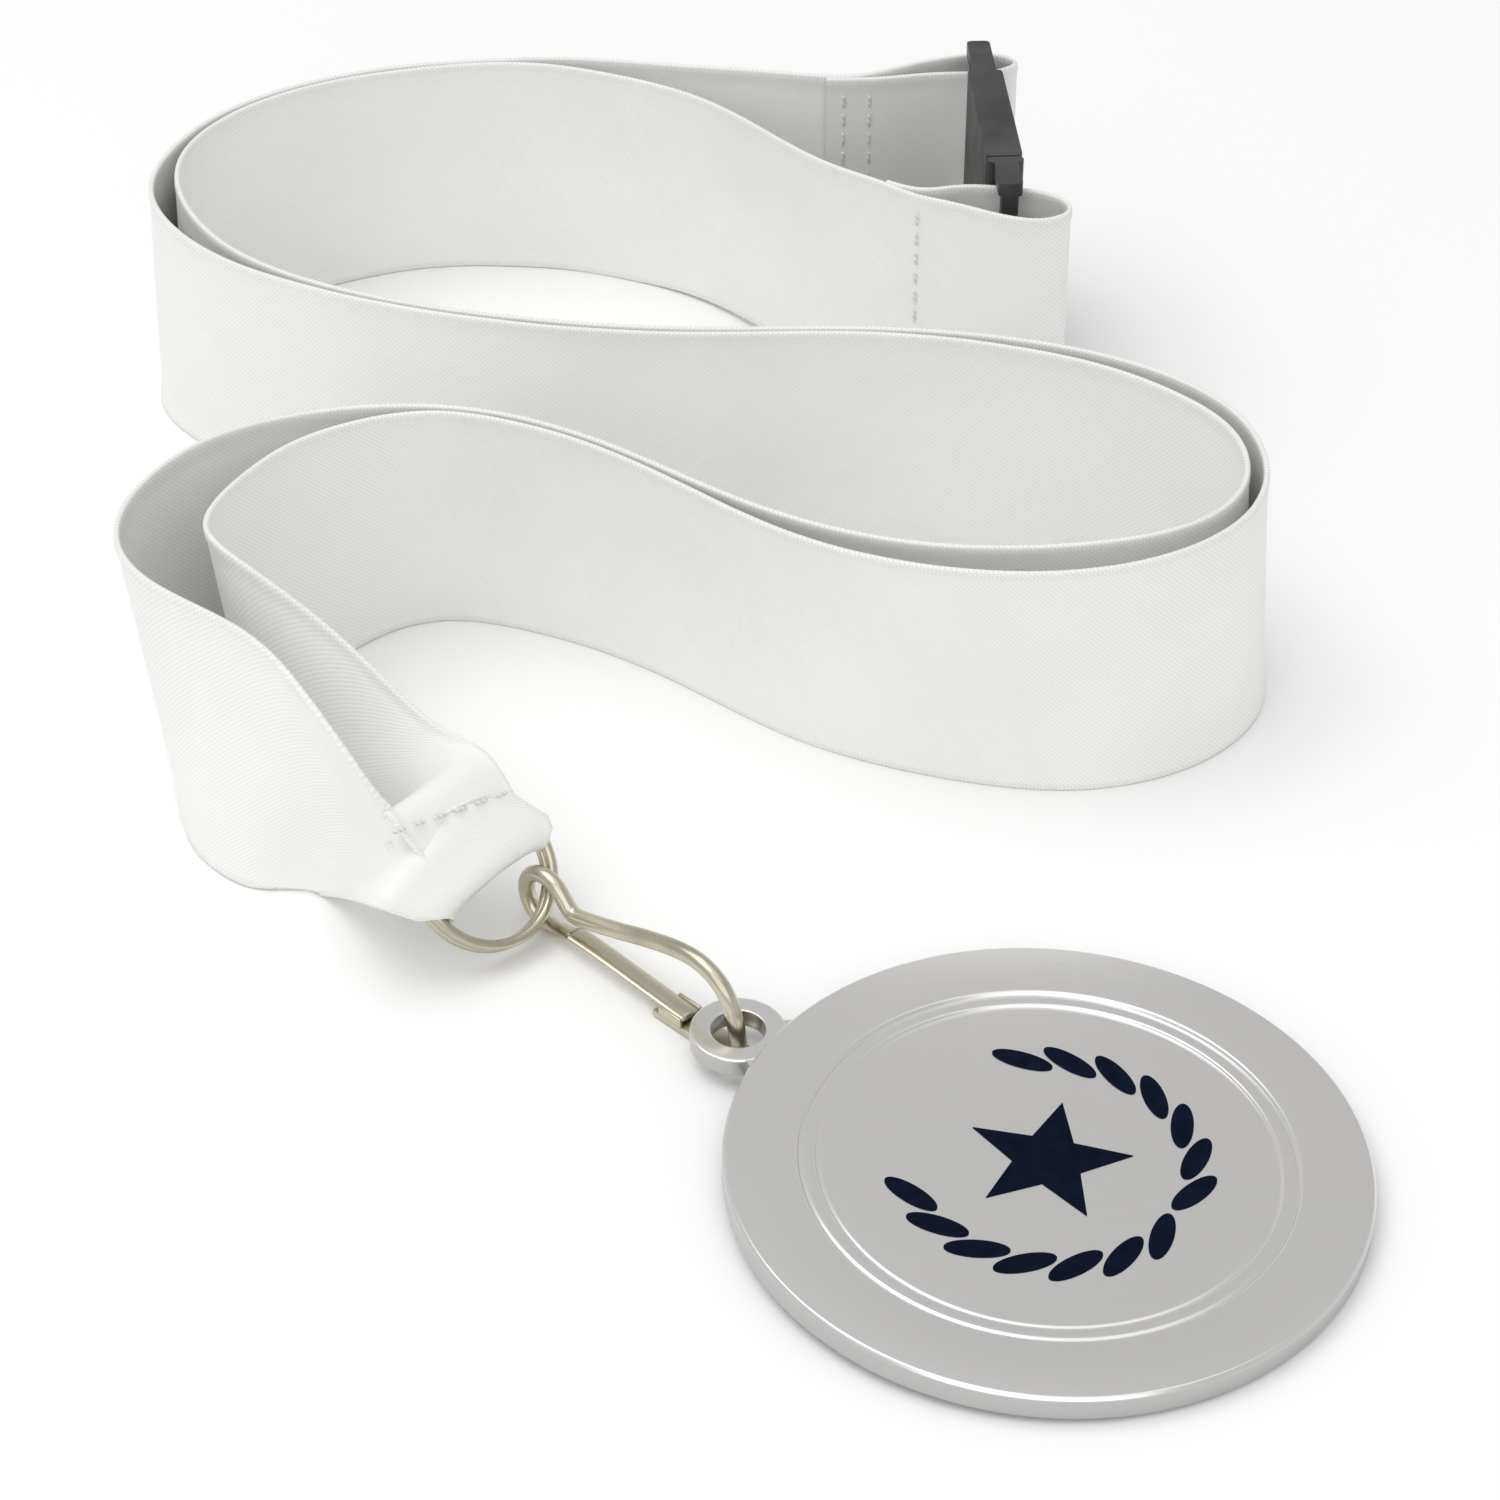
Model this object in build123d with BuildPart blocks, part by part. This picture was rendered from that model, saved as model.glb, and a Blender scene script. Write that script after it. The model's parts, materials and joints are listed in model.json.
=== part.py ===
"""A finisher medal on a 25 mm satin neck ribbon, laid on a table with the ribbon standing on edge.

Frame: millimetres, +Z up, the table is the plane Z = 0 and the origin is the point of the table
under the centre of the medal. The ribbon runs away along +Y in an S, with its ends joined by a clip.
"""

import os
from math import cos, radians, sin

from build123d import *

# medal
medal_radius = 25.0
medal_thickness = 2.3
medal_tilt = 1.35  # the lug end is lifted by the hook wire under it
rim_inner_radius = 19.4
bead_outer_radius = 19.1
bead_inner_radius = 17.7
field_depth = 0.35
groove_depth = 0.5
edge_round = 0.3
lug_angle = 148.5
lug_distance = 27.9
lug_radius = 3.9
lug_hole_radius = 2.2
lug_thickness = 1.65
lug_inset = 0.3
field_rise = 0.12  # the floor of the step lines stands this far above the field
field_ramp = 0.35

# printed emblem
ink_thickness = 0.06
star_radius = 6.6
laurel_radius = 11.4
leaf_length = 5.0
leaf_width = 1.8
star_waist = 0.42  # inner corners of the star, as a share of its radius
first_leaf_angle = 14
leaf_spacing = 19
leaf_turn = 62
leaves_per_side = 7

# split ring, held in the hem of the ribbon
ring_centre = Vector(-44.9, 30.3, 6.7)
ring_azimuth = -46.0
ring_elevation = 42.0
ring_radius = 6.75
ring_wire = 1.0

# snap hook
hook_wire = 1.3
hook_eye_radius = 2.5
hook_eye_height = 3.35
hook_eye_angle = 40.0  # place of the eye on the ring, from its lowest point
hook_belly_slope = 17.0
hook_bend_radius = 4.2
hook_tail = 2.7
gate_width = 1.7
gate_thickness = 0.6
gate_height = 1.55
gate_pivot_distance = 3.3
keeper_length = 9.4
keeper_width = 2.6
keeper_thickness = 0.6
keeper_foot = 0.1  # clearance under the keeper
flange_length = 2.6
flange_thickness = 0.36
flange_centre = 2.0  # from the free end of the keeper

# ribbon
ribbon_width = 25.0
ribbon_thickness = 0.45
clip_lift = 1.4  # the clip is taller than the ribbon and lifts it off the table
hem_width = 13.4
hem_depth = 7.7
hem_gap = 2.2
fold_width = 10.6
hem_drop = 0.6  # depth of the hem below the middle of the ring
stretch_steps = 8  # sections in each lofted stretch of ribbon
thread_width = 0.35
stitch_length = 1.5
stitch_pitch = 2.2
strand_stretches = 10
front_stretches = 7
funnel_wall = 1.2 * ribbon_thickness
back_seams = (((-12.8, 139.8), 1.6), ((-10.3, 140.2), 2.1))  # place and depth of the layers
front_seam = ((-7.2, 114.9), 2.6)

# breakaway clip
clip_height = 28.4
clip_thickness = 3.6
clip_yaw = 2.8
clip_origin = Vector(2.7, 112.6, 0)  # centre of the front bar
bar_length = 2.3
bar_thickness = 1.7
clip_round = 0.55
rail_thickness = 2.4
bar_spacing = 30.4
rail_height = 1.4
socket_start = 5.0
socket_length = 19.5
prong_length = 11.0
prong_height = 6.5
prong_thickness = 1.5
prong_clearance = 0.2
prong_low = 0.28  # heights of the prongs as shares of the clip's height
prong_high = 0.72
pocket_extra = 1.0
body_overlap = 1.0  # of the rails with the body
plug_gap = 0.25  # between the shoulder of the plug and the socket
shoulder_length = 1.2

os.makedirs("parts", exist_ok=True)


def polar(angle, length=1.0):
    """A level vector at an angle from +X."""
    return Vector(length * cos(radians(angle)), length * sin(radians(angle)), 0)


# The medal lies on its far edge, so its own plane is tipped up towards the lug.
lug_direction = polar(lug_angle)
medal_lift = medal_radius * sin(radians(medal_tilt))
medal_normal = Vector(0, 0, cos(radians(medal_tilt))) - lug_direction * sin(radians(medal_tilt))
medal_x = lug_direction * cos(radians(medal_tilt)) + Vector(0, 0, sin(radians(medal_tilt)))
medal_base = Plane(origin=(0, 0, medal_lift), x_dir=medal_x, z_dir=medal_normal)
field_height = medal_thickness - field_depth

with BuildPart() as medal_disc:
    section = Plane(origin=medal_base.origin, x_dir=medal_x, z_dir=medal_x.cross(medal_normal))
    with BuildSketch(section):
        with BuildLine():
            Polyline(
                (0, 0),
                (medal_radius, 0),
                (medal_radius, medal_thickness),
                (rim_inner_radius, medal_thickness),
                (bead_outer_radius, medal_thickness - groove_depth),
                (bead_outer_radius - field_ramp, field_height + field_rise),
                (bead_inner_radius + field_ramp, field_height + field_rise),
                (bead_inner_radius, medal_thickness - groove_depth),
                (bead_inner_radius - field_ramp, field_height),
                (0, field_height),
                close=True,
            )
        make_face()
    revolve(axis=Axis(medal_base.origin, -medal_normal))
    outer_edges = medal_disc.edges().filter_by(
        lambda e: e.geom_type == GeomType.CIRCLE and abs(e.radius - medal_radius) < 0.01
    )
    fillet(outer_edges, radius=edge_round)
    with BuildSketch(medal_base.offset(lug_inset)):
        with Locations((lug_distance, 0)):
            Circle(lug_radius)
        with Locations((lug_distance - lug_radius, 0)):
            Rectangle(lug_radius * 1.6, lug_radius * 1.3)
    extrude(amount=lug_thickness)
    with BuildSketch(medal_base.offset(-1)):
        with Locations((lug_distance, 0)):
            Circle(lug_hole_radius)
    extrude(amount=medal_thickness + 2, mode=Mode.SUBTRACT)
medal_disc.part.label = "medal_disc"
export_step(medal_disc.part, "parts/medal_disc.step")

with BuildPart() as medal_emblem:
    with BuildSketch(medal_base.offset(field_height + 0.01)):
        star_corners = []
        for corner in range(10):
            reach = star_radius if corner % 2 == 0 else star_radius * star_waist
            star_corners.append(polar(corner * 36, reach))
        with BuildLine():
            Polyline(*star_corners, close=True)
        make_face()
        for side in (1, -1):
            for leaf in range(leaves_per_side):
                angle = 180 + side * (first_leaf_angle + leaf * leaf_spacing)
                place = polar(angle, laurel_radius)
                with Locations(Location((place.X, place.Y), angle + side * leaf_turn)):
                    Ellipse(leaf_length / 2, leaf_width / 2)
    extrude(amount=ink_thickness)
medal_emblem.part.label = "medal_emblem"
export_step(medal_emblem.part, "parts/medal_emblem.step")

# The ring's plane: level along the hem, and sloping down out of it.
hem_along = polar(ring_azimuth + 90)
ring_normal = polar(ring_azimuth, cos(radians(ring_elevation))) + Vector(0, 0, sin(radians(ring_elevation)))
hem_up = ring_normal.cross(hem_along)
wire_radius_on_ring = ring_radius - ring_wire / 2

with BuildPart() as split_ring:
    for side in (0.5, -0.5):
        coil = Plane(origin=ring_centre + ring_normal * (side * ring_wire), x_dir=hem_along, z_dir=ring_normal)
        with BuildSketch(Plane(origin=coil.origin, x_dir=hem_along, z_dir=hem_up)):
            with Locations((wire_radius_on_ring, 0)):
                Circle(ring_wire / 2 + 0.01)
        revolve(axis=Axis(coil.origin, ring_normal))
split_ring.part.label = "split_ring"
export_step(split_ring.part, "parts/split_ring.step")

# The hook lies in an upright plane from its eye on the ring to the hole of the lug.
eye_direction = hem_along * sin(radians(hook_eye_angle)) - hem_up * cos(radians(hook_eye_angle))
eye_on_ring = ring_centre + eye_direction * wire_radius_on_ring
eye_foot = Vector(eye_on_ring.X, eye_on_ring.Y, 0)
lug_hole = medal_base.origin + medal_x * lug_distance
lug_foot = Vector(lug_hole.X, lug_hole.Y, 0)
hook_length = (lug_foot - eye_foot).length
hook_forward = (lug_foot - eye_foot).normalized()
hook_side = Vector(0, 0, 1).cross(hook_forward)
hook_plane = Plane(origin=eye_foot, x_dir=hook_forward, z_dir=hook_forward.cross(Vector(0, 0, 1)))

keeper_height = keeper_foot + keeper_thickness / 2
keeper_end = hook_length - keeper_length
keeper_plane = Plane(origin=eye_foot, x_dir=hook_forward, z_dir=(0, 0, 1)).offset(keeper_foot)
flange_side = (keeper_width - flange_thickness) / 2
with BuildPart() as snap_hook:
    with BuildLine() as hook_path:
        course = [Vector(hook_tail, hook_eye_height - hook_eye_radius + 0.65)]
        for step in range(6):
            course.append(Vector(0, hook_eye_height) + polar(-75 - 47 * step, hook_eye_radius))
        kink = course[-1] + Vector(1.9, -1.6)
        bend_x = hook_length - hook_bend_radius
        belly_x = bend_x - hook_bend_radius * sin(radians(hook_belly_slope))
        belly_y = kink.Y + (belly_x - kink.X) * sin(radians(hook_belly_slope))
        bend_y = belly_y - hook_bend_radius * cos(radians(hook_belly_slope))
        course.append(kink)
        course.append(kink + (Vector(belly_x, belly_y) - kink) * 0.35)
        course.append(kink + (Vector(belly_x, belly_y) - kink) * 0.7)
        for angle in (90 + hook_belly_slope, 70, 35, 0):
            course.append(Vector(bend_x, bend_y) + polar(angle, hook_bend_radius))
        course.append(Vector(hook_length, keeper_height))
        Spline(*[hook_plane.from_local_coords(point) for point in course])
    wire = hook_path.edge()
    with BuildSketch(Plane(origin=wire @ 0, z_dir=wire % 0)):
        Circle(hook_wire / 2)
    sweep(path=wire)
    # flattened tip: a channel that runs back under the lug and holds the end of the gate
    with BuildSketch(keeper_plane):
        with Locations((hook_length - keeper_length / 2 + hook_wire / 2, 0)):
            RectangleRounded(keeper_length, keeper_width, 0.5)
    extrude(amount=keeper_thickness)
    with BuildSketch(keeper_plane):
        with Locations(
            (keeper_end + flange_centre, flange_side),
            (keeper_end + flange_centre, -flange_side),
        ):
            Rectangle(flange_length, flange_thickness)
    extrude(amount=gate_height + 0.25)
snap_hook.part.label = "snap_hook"
export_step(snap_hook.part, "parts/snap_hook.step")

with BuildPart() as snap_gate:
    with BuildSketch(hook_plane):
        with BuildLine():
            Polyline(
                (gate_pivot_distance, gate_height + 0.3 - gate_thickness / 2),
                (gate_pivot_distance, gate_height + 0.3 + gate_thickness / 2),
                (keeper_end + 3.2, gate_height - 0.35 + gate_thickness / 2),
                (keeper_end + 3.2, gate_height - 0.35 - gate_thickness / 2),
                close=True,
            )
        make_face()
    extrude(amount=gate_width / 2, both=True)
    fillet(snap_gate.edges().filter_by(Axis(eye_foot, hook_plane.z_dir)), radius=0.15)
snap_gate.part.label = "snap_gate"
export_step(snap_gate.part, "parts/snap_gate.step")

# Two strands of one ribbon lie side by side along an S. Each row gives a place on the S:
# the foot of the pair, its upper edge, and half the distance between the two strands.
s_curve = [
    ((-68.6, 45.0), (-70.3, 48.0), 3.2),
    ((-69.8, 53.5), (-73.2, 56.0), 3.8),
    ((-67.8, 65.5), (-69.3, 66.3), 3.4),
    ((-61.2, 74.0), (-62.7, 71.8), 2.0),
    ((-51.5, 78.1), (-52.5, 74.6), 0.6),
    ((-42.6, 76.0), (-44.3, 73.0), 0.5),
    ((-34.4, 71.6), (-36.1, 68.5), 0.5),
    ((-25.9, 65.0), (-27.6, 61.6), 0.6),
    ((-17.1, 58.9), (-18.5, 54.8), 1.2),
    ((-4.5, 54.1), (-5.4, 50.2), 1.85),
    ((6.5, 52.8), (6.0, 50.4), 2.0),
    ((13.6, 54.3), (13.0, 52.7), 1.6),
    ((18.8, 57.4), (18.2, 56.6), 1.15),
    ((22.7, 62.8), (21.4, 63.0), 0.85),
    ((23.3, 69.5), (21.3, 70.0), 0.85),
    ((19.5, 77.7), (17.6, 77.0), 1.1),
    ((12.0, 84.2), (10.5, 82.8), 1.0),
    ((1.0, 88.8), (0.0, 87.0), 0.75),
    ((-11.5, 90.8), (-12.0, 88.9), 0.5),
    ((-29.0, 90.8), (-29.3, 88.9), 0.5),
    ((-46.0, 93.2), (-46.2, 91.2), 0.5),
    ((-58.5, 97.2), (-58.6, 95.0), 0.5),
    ((-68.2, 101.9), (-68.0, 99.8), 0.7),
    ((-76.2, 109.0), (-75.5, 106.3), 1.1),
    ((-82.2, 117.8), (-81.0, 117.0), 1.4),
    ((-82.6, 126.5), (-81.0, 125.5), 0.8),
    ((-77.8, 136.3), (-76.6, 134.8), 0.5),
    ((-68.5, 143.5), (-68.0, 141.8), 0.5),
    ((-58.6, 147.4), (-58.6, 145.3), 0.5),
    ((-49.6, 147.9), (-49.4, 146.8), 0.5),
]


def side_points(level, height, side):
    """One edge of one strand: the S moved sideways by half the distance between the strands."""
    centres = [Vector(row[level][0], row[level][1], height) for row in s_curve]
    points = []
    for i, centre in enumerate(centres):
        before = centres[max(i - 1, 0)]
        after = centres[min(i + 1, len(centres) - 1)]
        left = Vector(0, 0, 1).cross((after - before).normalized())
        points.append(centre + left * (side * s_curve[i][2]))
    return points


def cross_section(low, high, along):
    """The ribbon cut square across, between a point of its lower edge and one of its upper edge."""
    across = (high - low).normalized()
    along = (along - across * along.dot(across)).normalized()
    with BuildSketch(Plane(origin=(low + high) / 2, x_dir=across, z_dir=along)) as section:
        Rectangle((high - low).length, ribbon_thickness)
    return section.sketch.face()


def strand(low_points, high_points, stretches):
    """A flat ribbon between a lower and an upper edge, lofted in short stretches end to end."""
    with BuildLine() as low_line:
        Spline(*low_points)
    with BuildLine() as high_line:
        Spline(*high_points)
    low_edge = low_line.edge()
    high_edge = high_line.edge()
    sections = []
    for i in range(stretches * stretch_steps + 1):
        place = i / (stretches * stretch_steps)
        along = low_edge % place + high_edge % place
        sections.append(cross_section(low_edge @ place, high_edge @ place, along))
    with BuildPart() as made:
        for first in range(0, len(sections) - 1, stretch_steps):
            loft(sections[first:first + stretch_steps + 1])
    return made.part


def end_loop(points):
    """The end of a strand, folded round a bar of the clip and back along itself."""
    with BuildPart() as made:
        with BuildSketch(Plane.XY.offset(clip_lift)):
            with BuildLine() as course:
                Spline(*points)
            trace(line_width=ribbon_thickness)
        extrude(amount=edge_height)
    return made.part


edge_height = ribbon_width - 0.1
lifted = edge_height + clip_lift
outer_low = [Vector(-65.6, 36.6, 0)] + side_points(0, 0, 1)
outer_high = [Vector(-66.8, 41.4, edge_height)] + side_points(1, edge_height, 1)
inner_low = [Vector(-61.2, 42.8, 0)] + side_points(0, 0, -1)
inner_high = [Vector(-64.6, 50.3, edge_height)] + side_points(1, edge_height, -1)

# The outer strand goes on to the back of the clip, and folds round the bar there.
back_run = [(-43.0, 147.6, 0.0), (-30.2, 145.2, 0.2), (-21.0, 142.3, 0.7), (-15.0, 140.3, 1.0)]
outer_low += [Vector(x, y, clip_lift * lift) for x, y, lift in back_run]
outer_high += [Vector(x, y, edge_height + clip_lift * lift) for x, y, lift in back_run]
back_loop = [
    (-15.3, 140.4), (-12.0, 140.3), (-8.5, 141.6), (-5.2, 143.4), (-0.6, 145.1), (3.2, 145.4),
    (5.2, 143.6), (3.2, 141.4), (-0.6, 141.0), (-5.2, 140.7), (-9.0, 139.8), (-14.8, 139.2),
]

# The inner strand leaves the pair for the front of the clip. Its last stretch moves with the clip.
inner_low += [
    Vector(-43.0, 146.6, 0), Vector(-36.0, 144.2, 0),
    Vector(-29.0, 140.2, 0.2), Vector(-23.3, 134.6, 0.4),
]
inner_high += [
    Vector(-43.2, 145.6, edge_height), Vector(-36.4, 143.0, edge_height),
    Vector(-29.0, 138.0, edge_height + 0.2), Vector(-23.0, 131.4, edge_height + 0.4),
]
front_low = [
    Vector(-23.1, 134.4, 0.4), Vector(-18.5, 128.0, 0.8),
    Vector(-13.6, 120.8, 1.2), Vector(-9.2, 115.7, clip_lift),
]
front_high = [
    Vector(-22.8, 131.1, edge_height + 0.4), Vector(-18.0, 123.9, edge_height + 0.8),
    Vector(-13.6, 119.0, edge_height + 1.2), Vector(-9.2, 115.6, lifted),
]
front_loop = [
    (-6.4, 113.4), (-3.6, 112.0), (-0.8, 110.5), (3.0, 108.6), (6.0, 108.3), (8.5, 110.4),
    (7.6, 112.9), (4.8, 114.4), (1.4, 115.2), (-2.2, 115.3), (-5.6, 114.9), (-9.0, 117.0),
]
front_low += [Vector(x, y, clip_lift) for x, y in front_loop]
front_high += [Vector(x, y, lifted) for x, y in front_loop]

# The hem is a flat pocket round the ring. A funnel of ribbon leads up from it to the two strands.
hem_base = Plane(origin=ring_centre - hem_up * hem_drop, x_dir=hem_along, z_dir=hem_up)
hem_roof = Plane(
    origin=ring_centre + hem_up * (hem_depth - ribbon_thickness / 2), x_dir=hem_along, z_dir=-hem_up
)
outer_start = (outer_low[0] + outer_high[0]) / 2
inner_start = (inner_low[0] + inner_high[0]) / 2
spread = inner_start - outer_start
mouth = Plane(
    origin=(outer_start + inner_start) / 2, x_dir=spread, z_dir=spread.cross(Vector(0, 0, 1))
)


def funnel(wall):
    """The funnel between the hem and the strands, with its sides moved inwards by a wall."""
    with BuildPart() as made:
        with BuildSketch(mouth):
            Rectangle(spread.length + ribbon_thickness - 2 * wall, edge_height - 2 * wall)
        with BuildSketch(hem_roof):
            Rectangle(hem_width - 0.2 - 2 * wall, hem_gap + ribbon_thickness - 2 * wall)
        loft(ruled=True)
    return made.part


with BuildPart() as ribbon:
    with BuildSketch(hem_base):
        Rectangle(hem_width, hem_gap + 2 * ribbon_thickness)
        Rectangle(hem_width, hem_gap, mode=Mode.SUBTRACT)
    extrude(amount=hem_depth + hem_drop)
    add(funnel(0))
    add(funnel(funnel_wall), mode=Mode.SUBTRACT)
    # the fold passes between the wires of the ring, and the roof closes the pocket above it
    for height, width in (
        (0, fold_width),
        (hem_depth + hem_drop - 2 * ribbon_thickness, hem_width),
    ):
        with BuildSketch(hem_base.offset(height)):
            Rectangle(width, hem_gap + ribbon_thickness)
        extrude(amount=ribbon_thickness)
    add(strand(outer_low, outer_high, strand_stretches))
    add(end_loop(back_loop))
    add(strand(inner_low, inner_high, strand_stretches))
ribbon.part.label = "ribbon"
export_step(ribbon.part, "parts/ribbon.step")

with BuildPart() as ribbon_front_end:
    add(strand(front_low, front_high, front_stretches))
ribbon_front_end.part.label = "ribbon_front_end"
export_step(ribbon_front_end.part, "parts/ribbon_front_end.step")


def seam(place, across, depth):
    """An upright row of stitches through the layers of ribbon at one place."""
    with BuildPart() as made:
        row = Plane(origin=place + Vector(0, 0, clip_lift + ribbon_width / 2), x_dir=across, z_dir=(0, 0, 1))
        stitches = int((ribbon_width - 1.5) / stitch_pitch)
        with Locations(*[row.offset((i - (stitches - 1) / 2) * stitch_pitch) for i in range(stitches)]):
            Box(depth, thread_width, stitch_length)
    return made.part


with BuildPart() as stitch_back_loop:
    for place, depth in back_seams:
        add(seam(Vector(*place), Vector(0, 1, 0), depth))
stitch_back_loop.part.label = "stitch_back_loop"
export_step(stitch_back_loop.part, "parts/stitch_back_loop.step")

with BuildPart() as stitch_front_loop:
    place, depth = front_seam
    add(seam(Vector(*place), Vector(0.35, 1, 0), depth))
stitch_front_loop.part.label = "stitch_front_loop"
export_step(stitch_front_loop.part, "parts/stitch_front_loop.step")

with BuildPart() as stitch_ring_end:
    stitch_row = hem_roof.offset(ribbon_thickness / 2)
    stitches = int(hem_width / stitch_pitch)
    with Locations(stitch_row):
        with GridLocations(stitch_pitch, 1, stitches, 1):
            Box(stitch_length, hem_gap + 2.5 * ribbon_thickness, thread_width)
stitch_ring_end.part.label = "stitch_ring_end"
export_step(stitch_ring_end.part, "parts/stitch_ring_end.step")

# Breakaway clip: two halves, each with a bar for its end of the ribbon between two rails.
clip_base = Plane(origin=clip_origin, x_dir=polar(90 + clip_yaw), z_dir=(0, 0, 1))
clip_section = Plane(origin=clip_base.origin, x_dir=clip_base.y_dir, z_dir=clip_base.x_dir)
prong_places = [(0, clip_height * prong_low), (0, clip_height * prong_high)]

with BuildPart() as clip_socket:
    with BuildSketch(clip_base):
        with Locations((socket_start + socket_length / 2, 0)):
            RectangleRounded(socket_length, clip_thickness, clip_round)
    extrude(amount=clip_height)
    # rails reach back from the body to the bar
    rail_start = socket_start + socket_length - body_overlap
    rail_end = bar_spacing + bar_length / 2
    for height in (0, clip_height - rail_height):
        with BuildSketch(clip_base.offset(height)):
            with Locations(((rail_start + rail_end) / 2, 0)):
                RectangleRounded(rail_end - rail_start, rail_thickness, clip_round)
        extrude(amount=rail_height)
    with BuildSketch(clip_base.offset(rail_height)):
        with Locations((bar_spacing, 0)):
            RectangleRounded(bar_length, bar_thickness, clip_round)
    extrude(amount=clip_height - 2 * rail_height)
    # pocket for the two prongs
    with BuildSketch(clip_section.offset(socket_start)):
        with Locations(*prong_places):
            Rectangle(prong_thickness + 2 * prong_clearance, prong_height + 2 * prong_clearance)
    extrude(amount=prong_length + pocket_extra, mode=Mode.SUBTRACT)
clip_socket.part.label = "clip_socket"
export_step(clip_socket.part, "parts/clip_socket.step")

with BuildPart() as clip_plug:
    with BuildSketch(clip_base.offset(rail_height)):
        RectangleRounded(bar_length, bar_thickness, clip_round)
    extrude(amount=clip_height - 2 * rail_height)
    shoulder_end = socket_start - plug_gap
    for height in (0, clip_height - rail_height):
        with BuildSketch(clip_base.offset(height)):
            with Locations(((shoulder_end - bar_length / 2) / 2, 0)):
                RectangleRounded(shoulder_end + bar_length / 2, rail_thickness, clip_round)
        extrude(amount=rail_height)
    with BuildSketch(clip_base):
        with Locations((shoulder_end - shoulder_length / 2, 0)):
            RectangleRounded(shoulder_length, clip_thickness, clip_round)
    extrude(amount=clip_height)
    with BuildSketch(clip_section.offset(shoulder_end)):
        with Locations(*prong_places):
            Rectangle(prong_thickness, prong_height)
    extrude(amount=prong_length)
clip_plug.part.label = "clip_plug"
export_step(clip_plug.part, "parts/clip_plug.step")
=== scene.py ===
"""Looks of a sports finisher medal lying on a table, with its white satin ribbon standing on edge.

Sizes below are in millimetres in the frame of the CAD model, and are scaled to metres when a mesh is made.
"""

import json
from math import cos, pi, radians, sin

import bmesh
import bpy
import numpy as np
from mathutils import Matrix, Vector, noise


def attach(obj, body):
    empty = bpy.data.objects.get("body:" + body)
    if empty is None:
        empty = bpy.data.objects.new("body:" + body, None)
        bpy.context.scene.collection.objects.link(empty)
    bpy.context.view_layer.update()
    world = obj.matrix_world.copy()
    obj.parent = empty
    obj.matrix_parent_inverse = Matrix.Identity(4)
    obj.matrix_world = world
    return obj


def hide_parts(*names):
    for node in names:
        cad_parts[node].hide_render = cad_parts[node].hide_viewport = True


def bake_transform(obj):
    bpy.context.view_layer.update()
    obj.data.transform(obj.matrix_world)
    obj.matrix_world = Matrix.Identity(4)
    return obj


MM = 0.001

# ribbon
RIBBON_HALF_THICKNESS = 0.17
SELVAGE_HALF_THICKNESS = 0.27
RIBBON_HEIGHT = 24.9
CLIP_LIFT = 1.4
STATION_STEP = 0.9
RIBBON_WIDTH = 25
WAVE_HEIGHT = 0.10
CREASE_HEIGHT = 0.03
SELVAGE_WIDTH = 0.05  # as a share of the ribbon's width

# stitches
STITCH_LENGTH = 1.5
STITCH_PITCH = 2.2
SEAM_WIDTH = 22.5
THREAD_RADIUS = 0.17
THREAD_LIFT = 0.06
BACK_SEAM_DISTANCES = (2.0, 4.5)
HEM_STITCHES = 6
HEM_STITCH_STEP = (2.0, -0.28)
HEM_STITCH_START = (-7.0, 6.5)
HEM_STITCH_END = (-5.7, 6.3)
HEM_STITCH_OUT = 2.2

# ring and hook
RING_RADIUS = 6.25
RING_WIRE = 0.5
HOOK_WIRE = 0.72
EYE_RADIUS = 2.5
EYE_HEIGHT = 3.35
KEEPER_LENGTH = 9.4
KEEPER_HALF_WIDTH = 1.3
KEEPER_FLOOR = (0.1, 0.7)
KEEPER_FLANGES = (0.7, 3.3, 1.5)
KEEPER_TAIL = 0.5
KEEPER_EDGE = 0.14
FLANGE_THICKNESS = 0.36
FLANGE_OVERLAP = 0.1
GATE_HALF_SIZES = (0.98, 0.26)
HOOK_STEP = 0.22
FLAT_LENGTH = 3.4
COIL_START = 2.2
COIL_HALF_GAP = 0.5

# clip
CLIP_EDGE = 0.45

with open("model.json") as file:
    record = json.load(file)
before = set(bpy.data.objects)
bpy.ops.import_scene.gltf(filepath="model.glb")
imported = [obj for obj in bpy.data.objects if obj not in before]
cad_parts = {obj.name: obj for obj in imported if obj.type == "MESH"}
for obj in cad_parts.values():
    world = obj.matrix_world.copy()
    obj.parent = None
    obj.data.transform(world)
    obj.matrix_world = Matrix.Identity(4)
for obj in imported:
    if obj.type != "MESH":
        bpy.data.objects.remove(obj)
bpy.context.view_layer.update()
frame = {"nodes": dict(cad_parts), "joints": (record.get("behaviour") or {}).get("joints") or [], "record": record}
record = frame["record"]
joints = {joint["name"]: joint for joint in frame["joints"]}


def millimetres(point):
    return np.array(point, float) / MM


def unit(vector):
    vector = np.asarray(vector, float)
    return vector / np.linalg.norm(vector)


# ---------------------------------------------------------------- meshes


def make_object(name, vertices, faces, material, uvs=None):
    """A smooth-shaded mesh from millimetre vertices, with one UV pair per vertex when given."""
    mesh = bpy.data.meshes.new(name)
    mesh.from_pydata([tuple(v) for v in np.asarray(vertices) * MM], [], faces)
    mesh.validate()
    if uvs is not None:
        layer = mesh.uv_layers.new(name="millimetres")
        for loop in mesh.loops:
            layer.data[loop.index].uv = uvs[loop.vertex_index]
    for polygon in mesh.polygons:
        polygon.use_smooth = True
    mesh.materials.append(material)
    piece = bpy.data.objects.new(name, mesh)
    bpy.context.scene.collection.objects.link(piece)
    return piece


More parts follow.
